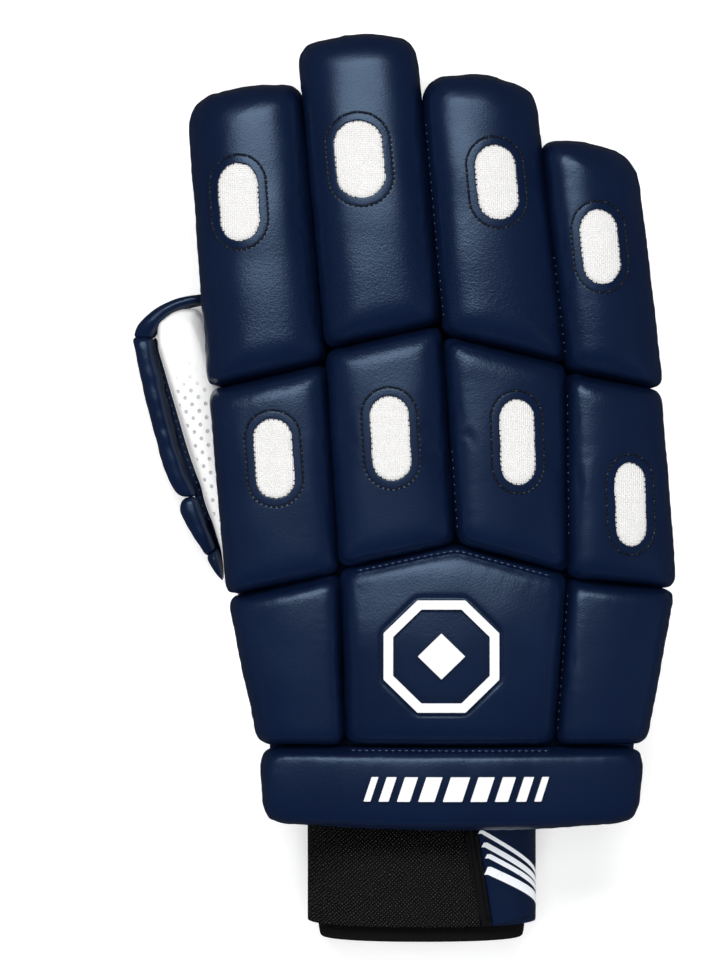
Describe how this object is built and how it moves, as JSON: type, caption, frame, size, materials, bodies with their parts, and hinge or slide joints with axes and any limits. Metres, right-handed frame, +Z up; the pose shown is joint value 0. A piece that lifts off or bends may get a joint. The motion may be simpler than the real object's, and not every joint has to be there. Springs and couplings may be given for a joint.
{
  "type": "cricket batting glove",
  "caption": "Padded leather glove for the right hand, with stuffed finger rolls and back pads, vent windows, a thumb guard and an elastic wristband with a strap tab",
  "frame": {"origin": "centre of the glove's bounding box, on the surface that it lies on palm down", "axes": "+Y from the wrist to the fingertips, +X towards the little finger, +Z up out of the back of the hand"},
  "size_m": [0.1816, 0.3022, 0.0626],
  "materials": {
    "navy_leather": "fine-grained coated leather, soft sheen",
    "white_leather": "thin white leather, matte, punched with small air holes",
    "white_mesh": "open white mesh cloth",
    "black_elastic": "ribbed woven elastic, matte",
    "black_towelling": "soft looped towelling, matte",
    "black_binding": "folded binding, matte",
    "white_rubber": "moulded soft rubber, satin"
  },
  "bodies": {
    "root": {"roll_index": "navy_leather", "roll_index_window_ring": "navy_leather", "roll_index_window_mesh": "white_mesh", "knuckle_pad_index": "navy_leather", "knuckle_pad_index_window_ring": "navy_leather", "knuckle_pad_index_window_mesh": "white_mesh", "roll_middle": "navy_leather", "roll_middle_window_ring": "navy_leather", "roll_middle_window_mesh": "white_mesh", "knuckle_pad_middle": "navy_leather", "knuckle_pad_middle_window_ring": "navy_leather", "knuckle_pad_middle_window_mesh": "white_mesh", "roll_ring": "navy_leather", "roll_ring_window_ring": "navy_leather", "roll_ring_window_mesh": "white_mesh", "knuckle_pad_ring": "navy_leather", "knuckle_pad_ring_window_ring": "navy_leather", "knuckle_pad_ring_window_mesh": "white_mesh", "roll_little": "navy_leather", "roll_little_window_ring": "navy_leather", "roll_little_window_mesh": "white_mesh", "knuckle_pad_little": "navy_leather", "knuckle_pad_little_window_ring": "navy_leather", "knuckle_pad_little_window_mesh": "white_mesh", "back_pad_index": "navy_leather", "back_pad_little": "navy_leather", "back_pad_centre": "navy_leather", "cuff_pad": "navy_leather", "badge_frame": "white_rubber", "badge_diamond": "white_rubber", "cuff_bar_1": "white_rubber", "cuff_bar_2": "white_rubber", "cuff_bar_3": "white_rubber", "cuff_bar_4": "white_rubber", "cuff_bar_5": "white_rubber", "cuff_bar_6": "white_rubber", "cuff_bar_7": "white_rubber", "cuff_bar_8": "white_rubber", "cuff_bar_9": "white_rubber", "finger_stall_index": "white_leather", "finger_stall_middle": "white_leather", "finger_stall_ring": "white_leather", "finger_stall_little": "white_leather", "back_panel": "navy_leather", "palm": "white_leather", "thumb_stall": "white_leather", "thumb_pad_base": "navy_leather", "thumb_pad_lower": "navy_leather", "thumb_pad_upper": "navy_leather", "thumb_pad_tip": "navy_leather", "wrist_liner": "black_towelling", "wrist_elastic": "black_elastic", "strap_binding": "black_binding", "strap_tab": "navy_leather"}
  },
  "joints": []
}
